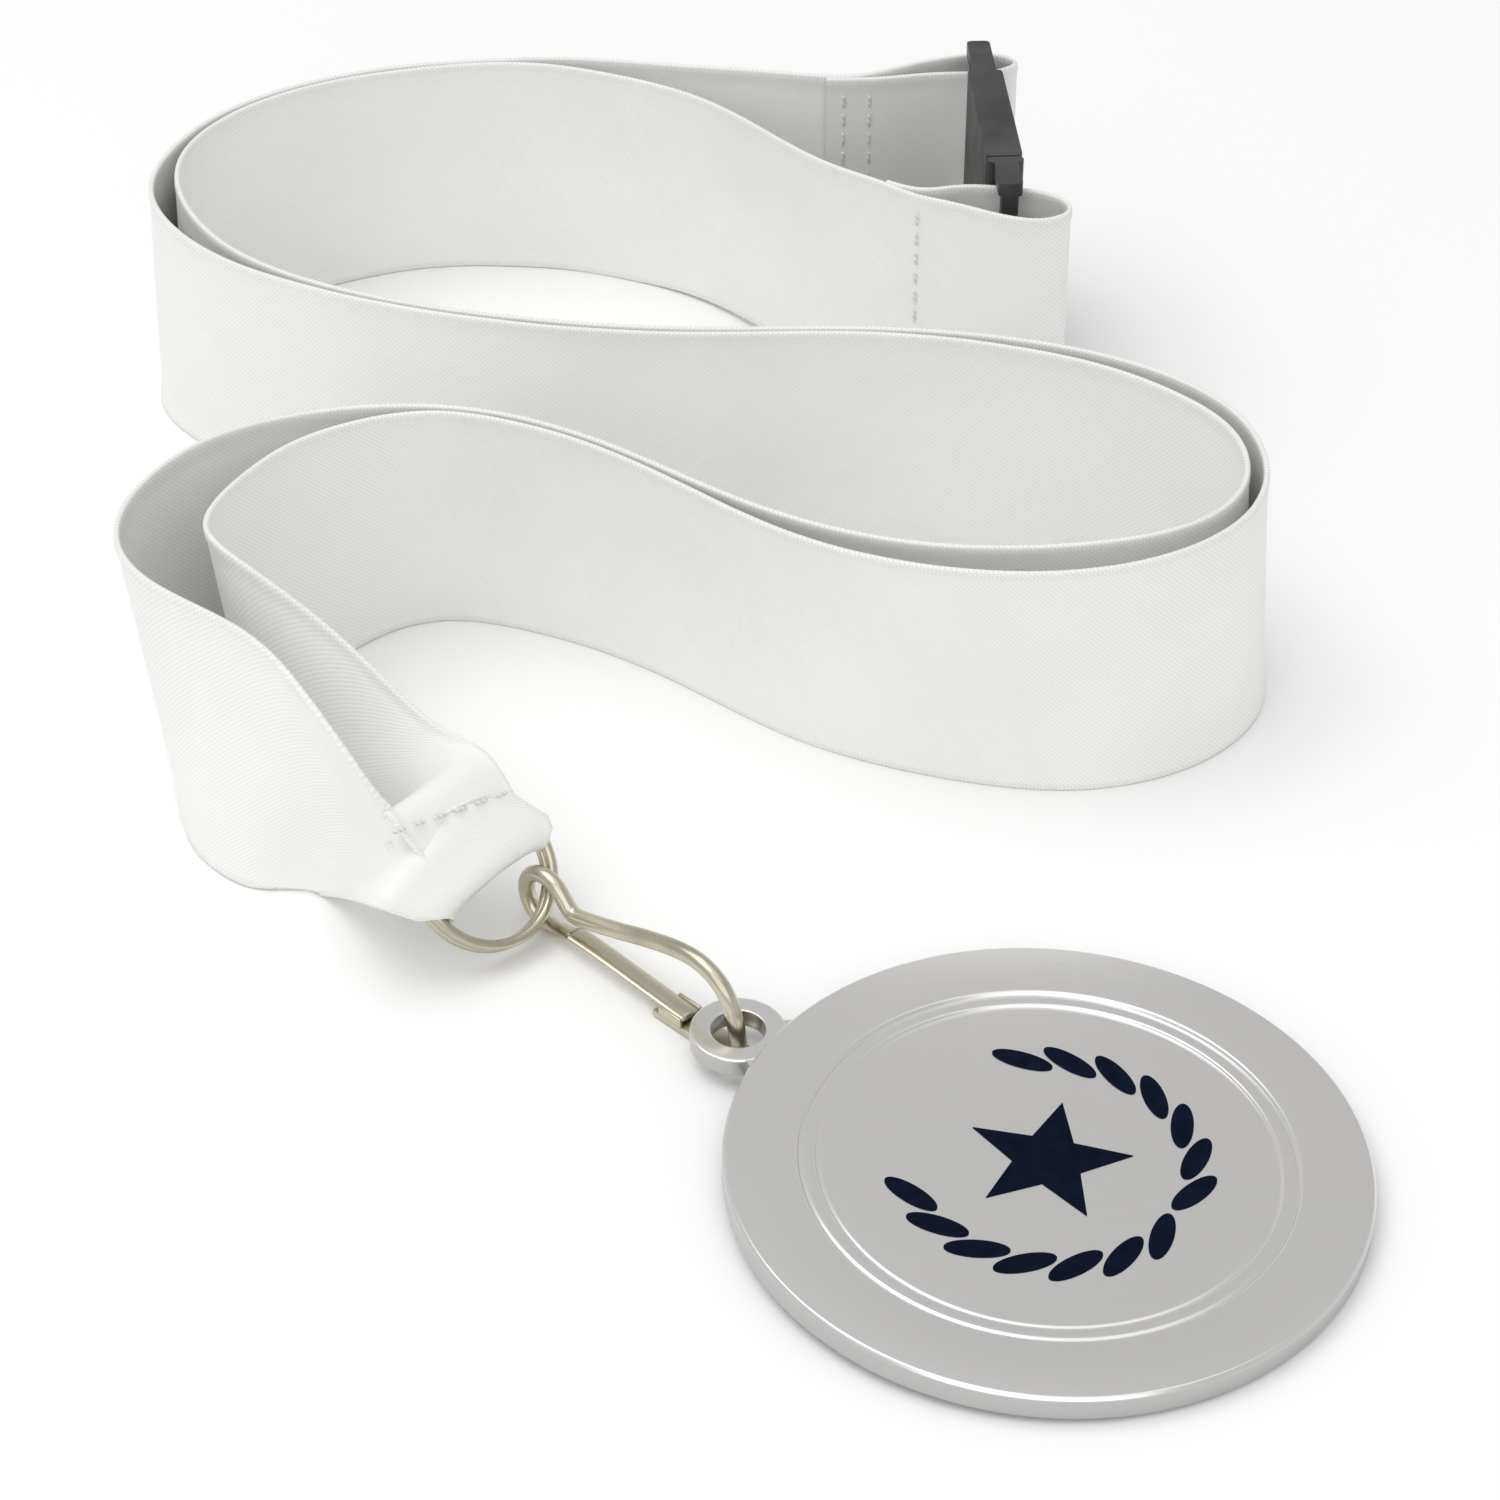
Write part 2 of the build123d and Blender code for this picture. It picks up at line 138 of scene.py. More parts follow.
def natural_spline(places, values, at):
    """Natural cubic spline through values at places, evaluated at other places."""
    count = len(places)
    steps = np.diff(places)
    slopes = np.diff(values, axis=0) / steps[:, None]
    system = np.eye(count)
    right = np.zeros_like(values)
    for i in range(1, count - 1):
        system[i, i - 1:i + 2] = steps[i - 1], 2 * (steps[i - 1] + steps[i]), steps[i]
        right[i] = 6 * (slopes[i] - slopes[i - 1])
    bend = np.linalg.solve(system, right)
    k = np.clip(np.searchsorted(places, at, side="right") - 1, 0, count - 2)
    t = (at - places[k])[:, None]
    h = steps[k][:, None]
    rest = h - t
    return (
        bend[k] * rest**3 / (6 * h)
        + bend[k + 1] * t**3 / (6 * h)
        + (values[k] / h - bend[k] * h / 6) * rest
        + (values[k + 1] / h - bend[k + 1] * h / 6) * t
    )


def smooth_line(points, step):
    """Points evenly spread along a spline through the given points."""
    points = np.asarray(points, float)
    places = np.concatenate([[0], np.cumsum(np.linalg.norm(np.diff(points, axis=0), axis=1))])
    at = np.linspace(0, places[-1], max(int(places[-1] / step), 8) + 1)
    return natural_spline(places, points, at)


def grid_faces(rows, columns, closed):
    """Quads of a grid of vertices stored row by row. Columns wrap round when closed."""
    faces = []
    for r in range(rows - 1):
        for c in range(columns if closed else columns - 1):
            d = (c + 1) % columns
            faces.append((r * columns + c, (r + 1) * columns + c, (r + 1) * columns + d, r * columns + d))
    return faces


def tube(name, line, radii, side, material, caps=True):
    """A wire along a line. Each radius is a pair: across the side direction, and square to it."""
    line = np.asarray(line, float)
    tangents = np.gradient(line, axis=0)
    vertices = []
    segments = 28
    for i, centre in enumerate(line):
        tangent = unit(tangents[i])
        across = unit(side - tangent * np.dot(side, tangent))
        up = np.cross(tangent, across)
        wide, high = radii[i]
        for k in range(segments):
            angle = 2 * pi * k / segments
            vertices.append(centre + across * cos(angle) * wide + up * sin(angle) * high)
    faces = grid_faces(len(line), segments, True)
    if caps:
        faces.append(tuple(range(segments)))
        faces.append(tuple(range(len(vertices) - 1, len(vertices) - segments - 1, -1)))
    return make_object(name, vertices, faces, material)


def join_pieces(pieces, name):
    """One object from several, keeping the first one's materials."""
    bpy.ops.object.select_all(action="DESELECT")
    for piece in pieces:
        piece.select_set(True)
    bpy.context.view_layer.objects.active = pieces[0]
    bpy.ops.object.join()
    pieces[0].name = name
    return pieces[0]


# ---------------------------------------------------------------- materials


def new_material(name):
    material = bpy.data.materials.new(name)
    material.use_nodes = True
    tree = material.node_tree
    shader = tree.nodes["Principled BSDF"]
    return material, tree, shader


def add_node(tree, kind, **settings):
    """A node with attributes set by name, and inputs set by their names with spaces as underscores."""
    made = tree.nodes.new(kind)
    for key, value in settings.items():
        label = key.replace("_", " ")
        if label in made.inputs:
            made.inputs[label].default_value = value
        else:
            setattr(made, key, value)
    return made


def ramp(tree, source, stops):
    """A colour ramp on a source socket, from a list of (place, grey or colour)."""
    made = tree.nodes.new("ShaderNodeValToRGB")
    while len(made.color_ramp.elements) < len(stops):
        made.color_ramp.elements.new(0.5)
    for element, (place, colour) in zip(made.color_ramp.elements, stops):
        element.position = place
        element.color = (colour, colour, colour, 1) if isinstance(colour, float) else (*colour, 1)
    tree.links.new(source, made.inputs["Fac"])
    return made.outputs["Color"]


def bumps(tree, shader, layers):
    """Bump nodes in a chain; each layer is (height socket, strength, distance in metres)."""
    previous = None
    for height, strength, distance in layers:
        made = add_node(tree, "ShaderNodeBump", Strength=strength, Distance=distance)
        tree.links.new(height, made.inputs["Height"])
        if previous is not None:
            tree.links.new(previous, made.inputs["Normal"])
        previous = made.outputs["Normal"]
    tree.links.new(previous, shader.inputs["Normal"])


def satin_material():
    """White satin: a fine diagonal weave, ribbed selvages and slow changes of tone."""
    material, tree, shader = new_material("white_satin")
    uv = add_node(tree, "ShaderNodeUVMap", uv_map="millimetres").outputs["UV"]
    objects = tree.nodes.new("ShaderNodeTexCoord").outputs["Object"]
    twill = add_node(tree, "ShaderNodeTexWave", Scale=1.3, Distortion=0.6, Detail=1.0)
    twill.bands_direction = "DIAGONAL"
    twill.inputs["Detail Scale"].default_value = 0.4
    weft = add_node(tree, "ShaderNodeTexWave", Scale=0.95, Distortion=0.1)
    weft.bands_direction = "X"
    threads = add_node(tree, "ShaderNodeTexNoise", Scale=3.2, Detail=2.0)
    cloud = add_node(tree, "ShaderNodeTexNoise", Scale=55.0, Detail=3.0)
    for texture in (twill, weft, threads):
        tree.links.new(uv, texture.inputs["Vector"])
    tree.links.new(objects, cloud.inputs["Vector"])
    split = tree.nodes.new("ShaderNodeSeparateXYZ")
    tree.links.new(uv, split.inputs["Vector"])
    from_middle = add_node(tree, "ShaderNodeMath", operation="SUBTRACT")
    from_middle.inputs[1].default_value = 12.5
    tree.links.new(split.outputs["Y"], from_middle.inputs[0])
    distance = add_node(tree, "ShaderNodeMath", operation="ABSOLUTE")
    tree.links.new(from_middle.outputs[0], distance.inputs[0])
    scaled = add_node(tree, "ShaderNodeMath", operation="MULTIPLY")
    scaled.inputs[1].default_value = 1 / 12.5
    tree.links.new(distance.outputs[0], scaled.inputs[0])
    selvage = ramp(tree, scaled.outputs[0], [(0.0, 0.0), (0.935, 0.0), (0.942, 1.0), (1.0, 1.0)])
    ribs = add_node(tree, "ShaderNodeMath", operation="MULTIPLY")
    tree.links.new(selvage, ribs.inputs[0])
    tree.links.new(weft.outputs["Fac"], ribs.inputs[1])
    tone = ramp(tree, cloud.outputs["Fac"], [
        (0.3, (0.89, 0.89, 0.865)), (0.55, (0.92, 0.92, 0.895)), (0.75, (0.94, 0.938, 0.918)),
    ])
    weave = add_node(tree, "ShaderNodeMix", data_type="RGBA", blend_type="MULTIPLY", Factor=0.10)
    tree.links.new(tone, weave.inputs[6])
    tree.links.new(twill.outputs["Color"], weave.inputs[7])
    rib_tone = add_node(tree, "ShaderNodeMix", data_type="RGBA", blend_type="MULTIPLY")
    rib_tone.inputs[7].default_value = (0.93, 0.93, 0.92, 1)
    tree.links.new(ribs.outputs[0], rib_tone.inputs[0])
    tree.links.new(weave.outputs[2], rib_tone.inputs[6])
    tree.links.new(rib_tone.outputs[2], shader.inputs["Base Color"])
    sheen = ramp(tree, cloud.outputs["Fac"], [(0.3, 0.46), (0.8, 0.36)])
    tree.links.new(sheen, shader.inputs["Roughness"])
    shader.inputs["Sheen Weight"].default_value = 0.25
    shader.inputs["Sheen Roughness"].default_value = 0.4
    shader.inputs["Specular IOR Level"].default_value = 0.45
    shader.inputs["Anisotropic"].default_value = 0.4
    bumps(tree, shader, [
        (threads.outputs["Fac"], 0.22, 0.00008),
        (twill.outputs["Fac"], 0.16, 0.00006),
        (ribs.outputs[0], 0.3, 0.00006),
    ])
    return material


def thread_material():
    """Sewing thread: white, matt, with a twist along it."""
    material, tree, shader = new_material("white_thread")
    objects = tree.nodes.new("ShaderNodeTexCoord").outputs["Object"]
    twist = add_node(tree, "ShaderNodeTexWave", Scale=900.0, Distortion=1.0)
    twist.bands_direction = "DIAGONAL"
    tree.links.new(objects, twist.inputs["Vector"])
    tone = ramp(tree, twist.outputs["Fac"], [(0.0, (0.62, 0.62, 0.60)), (1.0, (0.80, 0.80, 0.78))])
    tree.links.new(tone, shader.inputs["Base Color"])
    shader.inputs["Roughness"].default_value = 0.7
    bumps(tree, shader, [(twist.outputs["Fac"], 0.4, 0.00005)])
    return material


def metal_material(name, colour, dark, roughness, patches, painted_wall_shade=1.0, relief=()):
    """Plated metal with patchy tint and roughness.

    patches is the (scale, detail) of the noise, painted_wall_shade is painted shade that darkens faces
    that don't look up the object's Z axis, standing in for the dark surroundings that steep walls
    reflect, and relief holds the strengths of the (ripple, grain) bumps.
    """
    material, tree, shader = new_material(name)
    objects = tree.nodes.new("ShaderNodeTexCoord").outputs["Object"]
    cloud = add_node(tree, "ShaderNodeTexNoise", Scale=patches[0], Detail=patches[1])
    tree.links.new(objects, cloud.inputs["Vector"])
    tone = ramp(tree, cloud.outputs["Fac"], [(0.3, dark), (0.6, colour)])
    # painted shade: faces turned away from the object's Z axis get a darker base colour, standing in for the dark
    # surroundings that steep walls reflect
    slope = tree.nodes.new("ShaderNodeSeparateXYZ")
    tree.links.new(tree.nodes.new("ShaderNodeTexCoord").outputs["Normal"], slope.inputs["Vector"])
    painted_shade_factor = ramp(tree, slope.outputs["Z"], [(0.2, painted_wall_shade), (0.7, 1.0)])
    shaded = add_node(tree, "ShaderNodeMix", data_type="RGBA", blend_type="MULTIPLY", Factor=1.0)
    tree.links.new(tone, shaded.inputs[6])
    tree.links.new(painted_shade_factor, shaded.inputs[7])
    tree.links.new(shaded.outputs[2], shader.inputs["Base Color"])
    shader.inputs["Metallic"].default_value = 1.0
    low, high = roughness
    tree.links.new(ramp(tree, cloud.outputs["Fac"], [(0.3, high), (0.7, low)]), shader.inputs["Roughness"])
    if relief:
        ripple = add_node(tree, "ShaderNodeTexNoise", Scale=60.0, Detail=1.0)
        speckle = add_node(tree, "ShaderNodeTexNoise", Scale=2600.0, Detail=2.0)
        for texture in (ripple, speckle):
            tree.links.new(objects, texture.inputs["Vector"])
        bumps(tree, shader, [
            (ripple.outputs["Fac"], relief[0], 0.0004),
            (speckle.outputs["Fac"], relief[1], 0.00004),
        ])
    return material


def ink_material():
    """Screen-printed ink: deep navy, with a slightly uneven film."""
    material, tree, shader = new_material("navy_ink")
    objects = tree.nodes.new("ShaderNodeTexCoord").outputs["Object"]
    film = add_node(tree, "ShaderNodeTexNoise", Scale=700.0, Detail=3.0)
    tree.links.new(objects, film.inputs["Vector"])
    tone = ramp(tree, film.outputs["Fac"], [(0.3, (0.0008, 0.003, 0.012)), (0.7, (0.002, 0.006, 0.02))])
    tree.links.new(tone, shader.inputs["Base Color"])
    tree.links.new(ramp(tree, film.outputs["Fac"], [(0.3, 0.6), (0.7, 0.5)]), shader.inputs["Roughness"])
    shader.inputs["Specular IOR Level"].default_value = 0.05
    bumps(tree, shader, [(film.outputs["Fac"], 0.1, 0.00003)])
    return material


def plastic_material():
    """Black moulded acetal: a fine spark texture and paler rubbed patches."""
    material, tree, shader = new_material("black_plastic")
    objects = tree.nodes.new("ShaderNodeTexCoord").outputs["Object"]
    spark = add_node(tree, "ShaderNodeTexNoise", Scale=2400.0, Detail=2.0)
    rub = add_node(tree, "ShaderNodeTexNoise", Scale=220.0, Detail=3.0)
    tree.links.new(objects, spark.inputs["Vector"])
    tree.links.new(objects, rub.inputs["Vector"])
    tone = ramp(tree, rub.outputs["Fac"], [(0.3, (0.024, 0.024, 0.025)), (0.7, (0.044, 0.044, 0.046))])
    tree.links.new(tone, shader.inputs["Base Color"])
    tree.links.new(ramp(tree, rub.outputs["Fac"], [(0.3, 0.5), (0.7, 0.38)]), shader.inputs["Roughness"])
    bumps(tree, shader, [(spark.outputs["Fac"], 0.3, 0.00006)])
    return material


satin = satin_material()
thread = thread_material()
# the medal's walls, lug and neck sides carry painted shade (down to 0.63 of the face's colour), standing in for
# the darker surroundings they reflect; the real plated blank is one colour
silver = metal_material(
    "satin_medal", colour=(0.83, 0.82, 0.81), dark=(0.81, 0.80, 0.79), roughness=(0.24, 0.29),
    patches=(25.0, 0.0), painted_wall_shade=0.63,
)
nickel = metal_material(
    "nickel_wire", colour=(0.62, 0.58, 0.46), dark=(0.46, 0.43, 0.33), roughness=(0.20, 0.32),
    patches=(140.0, 4.0), relief=(0.05, 0.2),
)
ink = ink_material()
plastic = plastic_material()

# ---------------------------------------------------------------- ribbon

# The frame of the hem: middle of the ring, along the hem, up its slope, and out of its face.
ring_centre = millimetres(joints["ring_turn"]["pos_m"])
hem_out = unit(joints["ring_turn"]["axis"])
hem_along = unit(np.cross((0, 0, 1), hem_out))
hem_up = np.cross(hem_out, hem_along)


def hem(along, up, out):
    return ring_centre + hem_along * along + hem_up * up + hem_out * out


# The course of the pair of strands: foot of the pair, its upper edge, and half the gap.
S_CURVE = [
    ((-68.6, 45.0), (-70.3, 48.0), 3.2),
    ((-69.8, 53.5), (-73.2, 56.0), 3.8),
    ((-67.8, 65.5), (-69.3, 66.3), 3.4),
    ((-61.2, 74.0), (-62.7, 71.8), 2.0),
    ((-51.5, 78.1), (-52.5, 74.6), 0.6),
    ((-42.6, 76.0), (-44.3, 73.0), 0.5),
    ((-34.4, 71.6), (-36.1, 68.5), 0.5),
    ((-25.9, 65.0), (-27.6, 61.6), 0.6),
    ((-17.1, 58.9), (-18.5, 54.8), 1.2),
    ((-4.5, 54.1), (-5.4, 50.2), 1.85),
    ((6.5, 52.8), (6.0, 50.4), 2.0),
    ((13.6, 54.3), (13.0, 52.7), 1.6),
    ((18.8, 57.4), (18.2, 56.6), 1.15),
    ((22.7, 62.8), (21.4, 63.0), 0.85),
    ((23.3, 69.5), (21.3, 70.0), 0.85),
    ((19.5, 77.7), (17.6, 77.0), 1.1),
    ((12.0, 84.2), (10.5, 82.8), 1.0),
    ((1.0, 88.8), (0.0, 87.0), 0.75),
    ((-11.5, 90.8), (-12.0, 88.9), 0.5),
    ((-29.0, 90.8), (-29.3, 88.9), 0.5),
    ((-46.0, 93.2), (-46.2, 91.2), 0.5),
    ((-58.5, 97.2), (-58.6, 95.0), 0.5),
    ((-68.2, 101.9), (-68.0, 99.8), 0.7),
    ((-76.2, 109.0), (-75.5, 106.3), 1.1),
    ((-82.2, 117.8), (-81.0, 117.0), 1.4),
    ((-82.6, 126.5), (-81.0, 125.5), 0.8),
    ((-77.8, 136.3), (-76.6, 134.8), 0.5),
    ((-68.5, 143.5), (-68.0, 141.8), 0.5),
    ((-58.6, 147.4), (-58.6, 145.3), 0.5),
    ((-49.6, 147.9), (-49.4, 146.8), 0.5),
]


def side_rows(side):
    """Rows (lower edge, upper edge, bulge) of one strand: 1 is the outer one at the left loops."""
    rows = []
    for i, row in enumerate(S_CURVE):
        edges = []
        for level, height in ((0, 0.0), (1, RIBBON_HEIGHT)):
            before = np.array(S_CURVE[max(i - 1, 0)][level])
            after = np.array(S_CURVE[min(i + 1, len(S_CURVE) - 1)][level])
            x, y = unit(after - before)
            centre = row[level]
            gap = row[2] * side
            edges.append((centre[0] - y * gap, centre[1] + x * gap, height))
        rows.append((edges[0], edges[1], 0.0))
    return rows


def upright_rows(points, lift):
    """Rows of a stretch of ribbon that stands straight up on its edge."""
    return [((x, y, lift), (x, y, lift + RIBBON_HEIGHT), 0.0) for x, y in points]


def lifted_rows(points):
    """Rows from (foot x, foot y, top x, top y, share of the clip's lift)."""
    return [
        ((a, b, CLIP_LIFT * share), (c, d, RIBBON_HEIGHT + CLIP_LIFT * share), 0.0)
        for a, b, c, d, share in points
    ]


class Strand:
    """A stretch of ribbon as a grid of points: stations along it, and places across its width."""

    across = np.array([
        0, 0.004, 0.012, 0.024, 0.036, 0.05, 0.09, 0.15, 0.22, 0.3, 0.4, 0.5,
        0.6, 0.7, 0.78, 0.85, 0.91, 0.95, 0.964, 0.976, 0.988, 0.996, 1,
    ])

    def __init__(self, rows, seed):
        low = np.array([row[0] for row in rows], float)
        high = np.array([row[1] for row in rows], float)
        bulge = np.array([[row[2]] for row in rows], float)
        middle = (low + high) / 2
        places = np.concatenate([[0], np.cumsum(np.linalg.norm(np.diff(middle, axis=0), axis=1))])
        count = int(places[-1] / STATION_STEP) + 1
        at = np.linspace(0, places[-1], count)
        self.places = at
        self.low = natural_spline(places, low, at)
        self.high = natural_spline(places, high, at)
        self.bulge = natural_spline(places, bulge, at)[:, 0]
        self.row_places = places
        tangent = np.gradient((self.low + self.high) / 2, axis=0)
        span = self.high - self.low
        self.normal = np.cross(tangent, span)
        self.normal /= np.linalg.norm(self.normal, axis=1)[:, None]
        v = self.across[None, :, None]
        arch = (4 * v * (1 - v)) * self.bulge[:, None, None]
        self.grid = self.low[:, None] * (1 - v) + self.high[:, None] * v + self.normal[:, None] * arch
        for i in range(count):
            for j, share in enumerate(self.across):
                p = self.grid[i, j]
                wave = noise.noise(Vector((at[i] / 16, share * 1.6, seed)))
                crease = noise.noise(Vector((at[i] / 5, share * 3.1, seed + 7)))
                self.grid[i, j] = p + self.normal[i] * (WAVE_HEIGHT * wave + CREASE_HEIGHT * crease)
        # no edge goes below the table
        self.grid[:, :, 2] = np.maximum(self.grid[:, :, 2], SELVAGE_HALF_THICKNESS * 0.3)
        along = np.gradient(self.grid, axis=0)
        over = np.gradient(self.grid, axis=1)
        face = np.cross(along, over)
        self.face = face / np.linalg.norm(face, axis=2)[:, :, None]

    def station(self, place):
        """Index of the station nearest to a distance along the strand."""
        return int(np.argmin(np.abs(self.places - place)))

    def row_station(self, row):
        return self.station(self.row_places[row])

    def mesh(self, name, first=0, last=None):
        """A closed sheet of ribbon with beaded selvages between two stations."""
        last = len(self.places) - 1 if last is None else last
        share = self.across
        edge = np.minimum(share, 1 - share)
        bead = np.clip((SELVAGE_WIDTH - edge) / 0.014, 0, 1)
        half = RIBBON_HALF_THICKNESS + (SELVAGE_HALF_THICKNESS - RIBBON_HALF_THICKNESS) * bead
        half = np.where(edge < 0.011, SELVAGE_HALF_THICKNESS * 0.88, half)
        half = np.where(edge < 0.003, SELVAGE_HALF_THICKNESS * 0.45, half)
        vertices = []
        uvs = []
        columns = 2 * len(share)
        for i in range(first, last + 1):
            front = self.grid[i] + self.face[i] * half[:, None]
            back = self.grid[i] - self.face[i] * half[:, None]
            vertices.extend(front)
            vertices.extend(back[::-1])
            uvs.extend((self.places[i], RIBBON_WIDTH * s) for s in share)
            uvs.extend((self.places[i], RIBBON_WIDTH * s) for s in share[::-1])
        faces = grid_faces(last - first + 1, columns, True)
        # the ends have their own points, so that they don't bend the shading of the sides
        for start, flipped in ((0, False), ((last - first) * columns, True)):
            base = len(vertices)
            vertices.extend(vertices[start:start + columns])
            uvs.extend(uvs[start:start + columns])
            for j in range(len(share) - 1):
                quad = (base + j, base + j + 1, base + columns - 2 - j, base + columns - 1 - j)
                faces.append(quad[::-1] if flipped else quad)
        return make_object(name, vertices, faces, satin, uvs)


outer_rows = [
    (hem(-6.0, 6.0, -1.5), hem(5.2, 5.6, -1.5), 0.0),
    (hem(-5.6, 2.4, -1.5), hem(5.8, 3.0, -1.5), 0.0),
    (hem(-5.2, -0.6, -1.2), hem(5.8, 0.8, -1.2), 0.6),
    (hem(-5.1, -2.2, 0.2), hem(5.8, -0.6, 0.2), 1.3),
    (hem(-5.8, -1.8, 1.6), hem(6.2, -0.1, 1.6), 0.5),
    (hem(-7.2, -1.3, 1.7), hem(6.9, 0.8, 1.85), 0.0),
    (hem(-8.6, -0.6, 1.7), hem(6.0, 2.8, 2.0), 0.0),
    (hem(-9.8, 0.6, 1.5), hem(4.6, 4.9, 2.0), 0.0),
    (hem(-11.0, 2.2, 0.7), hem(0.8, 5.9, 2.0), 0.0),
    ((-56.5, 30.0, 4.2), (-50.9, 29.6, 12.9), 0.6),
    ((-59.4, 35.5, 0.0), (-55.2, 30.6, 18.2), 2.2),
    ((-65.0, 36.6, 0.0), (-61.0, 35.8, 24.0), 1.4),
    ((-69.7, 40.5, 0.0), (-66.8, 41.4, RIBBON_HEIGHT), 0.3),
]
back_run = [
    (-43.0, 147.6, -43.0, 147.6, 0.0), (-30.2, 145.2, -30.2, 145.2, 0.2),
    (-21.0, 142.3, -21.0, 142.3, 0.7), (-15.0, 140.3, -15.0, 140.3, 1.0),
]
back_loop = [
    (-12.0, 140.3), (-8.5, 141.6), (-5.2, 143.4), (-0.6, 145.1), (3.2, 145.4),
    (5.2, 143.6), (3.2, 141.6), (-0.6, 141.0), (-5.2, 140.6), (-9.0, 139.9), (-14.8, 139.6),
]
outer = Strand(outer_rows + side_rows(1) + lifted_rows(back_run) + upright_rows(back_loop, CLIP_LIFT), 1.5)
outer_piece = outer.mesh("ribbon_outer_strand")

inner_rows = [
    (hem(-5.2, 2.6, 1.5), hem(5.2, 2.6, 1.5), 0.0),
    (hem(-5.8, 5.4, 1.55), hem(5.2, 5.0, 1.55), 0.0),
    (hem(-6.2, 8.0, 1.4), hem(5.0, 7.8, 1.5), 0.0),
    ((-53.6, 33.6, 6.0), (-48.9, 40.3, 14.5), 0.0),
    ((-57.2, 38.2, 1.5), (-57.0, 46.3, 19.0), 0.0),
    ((-62.0, 44.0, 0.0), (-65.8, 50.9, 24.0), 0.0),
]
front_run = [
    (-43.0, 146.6, -43.2, 145.6, 0.0), (-36.0, 144.2, -36.4, 143.0, 0.0),
    (-29.0, 140.2, -29.0, 138.0, 0.2), (-23.2, 134.5, -22.9, 131.2, 0.4),
    (-18.5, 128.0, -18.0, 123.9, 0.8), (-13.6, 120.8, -13.6, 119.0, 1.0),
]
front_loop = [
    (-9.3, 115.8), (-6.4, 113.4), (-3.6, 112.0), (-0.8, 110.5), (3.0, 108.6), (6.0, 108.3), (8.5, 110.4),
    (7.6, 112.9), (4.8, 114.4), (1.4, 115.2), (-2.2, 115.3), (-5.6, 114.7), (-9.2, 116.4),
]
inner_side = side_rows(-1)[1:]
inner = Strand(inner_rows + inner_side + lifted_rows(front_run) + upright_rows(front_loop, CLIP_LIFT), 4.5)
split = inner.row_station(len(inner_rows) + len(inner_side))
inner_piece = inner.mesh("ribbon_inner_strand", last=split)
front_piece = inner.mesh("ribbon_front_end_loop", first=split)

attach(outer_piece, "root")
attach(inner_piece, "root")
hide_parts("ribbon")
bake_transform(front_piece)
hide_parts("ribbon_front_end")


def stitches_between(start_points, end_points, name, body, node):
    """Short lengths of thread from each start point to its end point."""
    made = []
    for start, end in zip(start_points, end_points):
        line = smooth_line([start, (start + end) / 2, end], 0.2)
        steps = np.linspace(-1, 1, len(line))
        radius = THREAD_RADIUS * np.sqrt(np.clip(1 - steps**6, 0.05, 1))
        made.append(tube(name, line, [(r, r) for r in radius], np.array((0.3, 0.9, 0.2)), thread))
    piece = join_pieces(made, name)
    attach(piece, body)
    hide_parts(node)


def seam_across(strand, station, side):
    """Starts and ends of the stitches of a seam across the ribbon, on one of its faces."""
    starts = []
    ends = []
    count = int(SEAM_WIDTH / STITCH_PITCH)
    for k in range(count):
        middle = RIBBON_WIDTH / 2 + (k - (count - 1) / 2) * STITCH_PITCH
        for place, points in ((middle - STITCH_LENGTH / 2, starts), (middle + STITCH_LENGTH / 2, ends)):
            share = place / RIBBON_WIDTH
            column = [np.interp(share, strand.across, strand.grid[station, :, axis]) for axis in range(3)]
            normal = [np.interp(share, strand.across, strand.face[station, :, axis]) for axis in range(3)]
            points.append(np.array(column) + np.array(normal) * side * (RIBBON_HALF_THICKNESS + THREAD_LIFT))
    return starts, ends


back_starts, back_ends = [], []
for distance in BACK_SEAM_DISTANCES:
    for side in (1, -1):
        starts, ends = seam_across(outer, outer.station(outer.places[-1] - distance), side)
        back_starts += starts
        back_ends += ends
stitches_between(back_starts, back_ends, "stitch_thread_back_loop", "root", "stitch_back_loop")
front_starts, front_ends = [], []
seam_row = len(inner_rows) + len(inner_side) + len(front_run) + 1
for side in (1, -1):
    starts, ends = seam_across(inner, inner.row_station(seam_row), side)
    front_starts += starts
    front_ends += ends
stitches_between(front_starts, front_ends, "stitch_thread_front_loop", "clip_front", "stitch_front_loop")


def hem_row(first):
    """One point per stitch along the hem seam, from the (along, up) of the first."""
    return [
        hem(first[0] + HEM_STITCH_STEP[0] * k, first[1] + HEM_STITCH_STEP[1] * k, HEM_STITCH_OUT)
        for k in range(HEM_STITCHES)
    ]


hem_starts = hem_row(HEM_STITCH_START)
hem_ends = hem_row(HEM_STITCH_END)
stitches_between(hem_starts, hem_ends, "stitch_thread_ring_end", "root", "stitch_ring_end")

# ---------------------------------------------------------------- ring and hook

turns = np.linspace(0, 4 * pi, 220)
ring_line = [
    hem(
        RING_RADIUS * cos(t + COIL_START),
        RING_RADIUS * sin(t + COIL_START),
        COIL_HALF_GAP * np.interp(t, [1.6 * pi, 2.4 * pi], [-1.0, 1.0]),
    )
    for t in turns
]
ring_piece = tube("split_ring_coils", ring_line, [(RING_WIRE, RING_WIRE * 0.96)] * len(turns), hem_out, nickel)
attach(ring_piece, "ring")
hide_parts("split_ring")

hook_up = np.array((0.0, 0.0, 1.0))
hook_side = unit(joints["hook_swing"]["axis"])
hook_forward = np.cross(hook_up, hook_side)
eye_foot = millimetres(joints["hook_swing"]["pos_m"]) * (1, 1, 0)
lug_hole = millimetres(joints["medal_turn"]["pos_m"])
hook_length = np.linalg.norm((lug_hole - eye_foot)[:2])


def on_hook(forward, up, side=0.0):
    return eye_foot + hook_forward * forward + hook_up * up + hook_side * side


